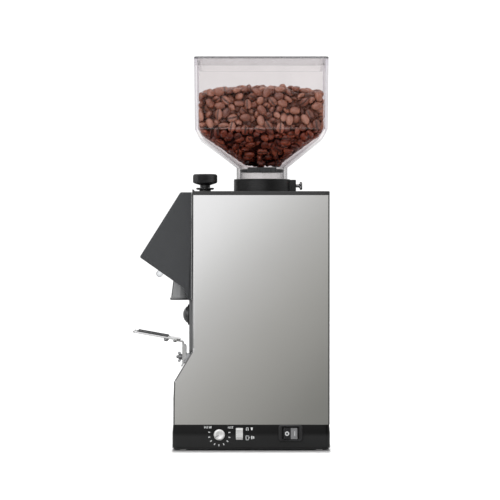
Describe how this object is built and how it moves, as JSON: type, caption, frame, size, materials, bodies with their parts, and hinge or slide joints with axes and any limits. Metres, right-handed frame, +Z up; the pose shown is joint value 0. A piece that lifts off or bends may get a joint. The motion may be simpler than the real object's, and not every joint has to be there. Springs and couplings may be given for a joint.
{
  "type": "burr coffee grinder",
  "caption": "Countertop burr coffee grinder with clear bean hopper, dosing snout, portafilter fork with push button, grind adjusting knob and side controls.",
  "frame": {"origin": "on the floor, under the middle of the overall width and depth", "axes": "+Z up, -Y towards the snout and fork at the front, +X the side with the controls"},
  "size_m": [0.1224, 0.1771, 0.35],
  "materials": {
    "base_black": "fine moulded grain",
    "bottom_steel": "black powder coat",
    "zinc_screws": "zinc plated",
    "feet_rubber": "matt",
    "shell_steel": "polished stainless sheet",
    "front_plastic": "satin",
    "cover_black": "satin black",
    "collar_plastic": "moulded",
    "thumbscrew_chrome": "knurled",
    "hopper_clear": "clear moulded polycarbonate",
    "gate_black": "moulded",
    "lid_clear": "clear moulded polycarbonate",
    "beans": "roasted, slightly oily",
    "snout_grey": "satin dark grey",
    "spout_grey": "satin",
    "lens_clear": "clear",
    "duct_plastic": "natural nylon",
    "flap_silicone": "matt",
    "cast_alu": "die cast",
    "machined_alu": "turned",
    "burr_steel": "hardened, ground",
    "ground_steel": "ground",
    "rotor_steel": "turned laminations",
    "fan_plastic": "moulded",
    "stator_steel": "varnished laminations",
    "winding_copper": "enamelled copper",
    "lever_steel": "pressed, zinc plated",
    "nut_brass": "turned",
    "knob_plastic": "satin, knurled edge",
    "bush_black": "blackened",
    "chassis_steel": "galvanised sheet",
    "damper_rubber": "matt",
    "button_plastic": "soft gloss",
    "switch_black": "moulded",
    "fork_steel": "polished stainless",
    "pad_rubber": "matt",
    "block_alu": "satin",
    "clamp_steel": "zinc plated",
    "dial_silver": "silver satin",
    "selector_grey": "moulded",
    "rocker_black": "semi gloss",
    "board_green": "solder mask",
    "capacitor_alu": "drawn can",
    "gland_black": "moulded"
  },
  "bodies": {
    "grinder": {"base_housing": "base_black", "bottom_plate": "bottom_steel", "housing_screws": "zinc_screws", "feet": "feet_rubber", "body_shell": "shell_steel", "front_plate": "front_plastic", "front_screws": "zinc_screws", "top_cover": "cover_black", "hopper_collar": "collar_plastic", "snout_cover": "snout_grey", "spout": "spout_grey", "work_lamp_lens": "lens_clear", "outlet_duct": "duct_plastic", "anti_clump_flap": "flap_silicone", "grind_chamber": "cast_alu", "upper_burr_carrier": "machined_alu", "upper_burr": "burr_steel", "stator": "stator_steel", "stator_windings": "winding_copper", "motor_upper_shield": "cast_alu", "motor_lower_shield": "cast_alu", "motor_tie_bolts": "zinc_screws", "shaft_bearings": "ground_steel", "lever_pivot_pin": "ground_steel", "spindle_bush": "bush_black", "chassis": "chassis_steel", "chamber_dampers": "damper_rubber", "chamber_pillars": "zinc_screws", "button_bezel": "button_plastic", "microswitch": "switch_black", "fork_block": "block_alu", "timer_potentiometer": "switch_black", "selector_switch": "switch_black", "power_switch": "switch_black", "control_board": "board_green", "run_capacitor": "capacitor_alu", "cord_gland": "gland_black"},
    "hopper": {"hopper": "hopper_clear", "coffee_beans": "beans"},
    "gate": {"hopper_gate": "gate_black"},
    "lid": {"hopper_lid": "lid_clear"},
    "thumbscrew": {"hopper_thumbscrew": "thumbscrew_chrome"},
    "knob": {"adjusting_knob": "knob_plastic", "adjusting_spindle": "ground_steel"},
    "nut": {"adjusting_nut": "nut_brass"},
    "lever": {"adjusting_lever": "lever_steel"},
    "lift": {"thrust_bearing": "ground_steel"},
    "shaft": {"motor_shaft": "ground_steel", "rotor": "rotor_steel", "cooling_fan": "fan_plastic", "lower_burr_carrier": "machined_alu", "lower_burr": "burr_steel", "burr_centre_nut": "zinc_screws"},
    "button": {"push_button": "button_plastic"},
    "fork": {"portafilter_fork": "fork_steel", "fork_pads": "pad_rubber"},
    "clamp": {"fork_clamp_screw": "clamp_steel"},
    "timer": {"timer_knob": "dial_silver"},
    "selector": {"selector_rocker": "selector_grey"},
    "power": {"power_rocker": "rocker_black"}
  },
  "joints": [
    {"name": "hopper_lift", "type": "slide", "parent": "grinder", "child": "hopper", "axis": [0, 0, 1], "range_m": [0, 0.03]},
    {"name": "gate_pull", "type": "slide", "parent": "hopper", "child": "gate", "axis": [1, 0, 0], "range_m": [0, 0.036]},
    {"name": "lid_lift", "type": "slide", "parent": "hopper", "child": "lid", "axis": [0, 0, 1], "range_m": [0, 0.03]},
    {"name": "thumbscrew_turn", "type": "hinge", "parent": "grinder", "child": "thumbscrew", "pos_m": [0, 0.0565, 0.2359], "axis": [0, 1, 0], "range_deg": [-720, 0]},
    {"name": "grind_adjust", "type": "hinge", "parent": "grinder", "child": "knob", "pos_m": [0, -0.0252, 0.2], "axis": [0, 0, 1], "range_deg": [-432, 432]},
    {"name": "nut_travel", "type": "slide", "parent": "grinder", "child": "nut", "axis": [0, 0, 1], "range_m": [-0.00125, 0.00125]},
    {"name": "lever_tilt", "type": "hinge", "parent": "grinder", "child": "lever", "pos_m": [0, 0.06, 0.1815], "axis": [1, 0, 0], "range_deg": [-0.85, 0.85]},
    {"name": "shaft_lift", "type": "slide", "parent": "grinder", "child": "lift", "axis": [0, 0, 1], "range_m": [-0.000476, 0.000476]},
    {"name": "motor_spin", "type": "hinge", "parent": "lift", "child": "shaft", "pos_m": [0, 0.0262, 0.13], "axis": [0, 0, 1], "continuous": true},
    {"name": "button_press", "type": "slide", "parent": "grinder", "child": "button", "axis": [0, 1, 0], "range_m": [0, 0.003], "stiffness_N_per_m": 400, "springref_m": -0.0012},
    {"name": "fork_height", "type": "slide", "parent": "grinder", "child": "fork", "axis": [0, 0, 1], "range_m": [0, 0.0026]},
    {"name": "fork_clamp_turn", "type": "hinge", "parent": "grinder", "child": "clamp", "pos_m": [0, -0.045, 0.0815], "axis": [0, 1, 0], "range_deg": [-720, 0]},
    {"name": "timer_turn", "type": "hinge", "parent": "grinder", "child": "timer", "pos_m": [0.06, -0.0119, 0.014], "axis": [1, 0, 0], "range_deg": [-150, 150]},
    {"name": "selector_rock", "type": "hinge", "parent": "grinder", "child": "selector", "pos_m": [0.057, 0.0059, 0.0148], "axis": [0, 1, 0], "range_deg": [-5, 5]},
    {"name": "power_rock", "type": "hinge", "parent": "grinder", "child": "power", "pos_m": [0.0585, 0.0513, 0.0155], "axis": [0, 0, 1], "range_deg": [-14, 0]}
  ],
  "couplings": [
    {"joint": "grind_adjust", "follows": "shaft_lift", "rad_per_m": -15838},
    {"joint": "nut_travel", "follows": "shaft_lift", "ratio": 2.5207},
    {"joint": "lever_tilt", "follows": "shaft_lift", "rad_per_m": -29.586}
  ]
}
